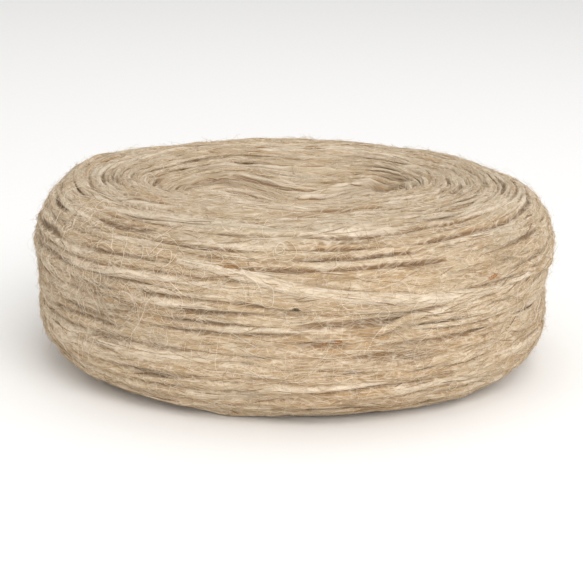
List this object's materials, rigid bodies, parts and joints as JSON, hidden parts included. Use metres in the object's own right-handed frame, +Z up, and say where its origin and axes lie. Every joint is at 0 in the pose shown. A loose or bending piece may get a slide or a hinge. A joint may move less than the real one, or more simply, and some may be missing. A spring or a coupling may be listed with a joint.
{
  "type": "flat wound cake of unspun wool yarn",
  "caption": "Low round cake of soft undyed wool yarn, wound in bundled turns, with rounded edges and a long wavy slit where its middle closed up.",
  "frame": {"origin": "middle of the underside, on the surface that the cake rests on", "axes": "+Z up through the cake's middle, +X along the slit in its top, -Y towards the front where the last turn slants down the wall"},
  "size_m": [0.2007, 0.1991, 0.07],
  "materials": {
    "undyed_wool": "soft, matt, fibrous beige wool"
  },
  "bodies": {
    "root": {"wool_cake": "undyed_wool"}
  },
  "joints": []
}
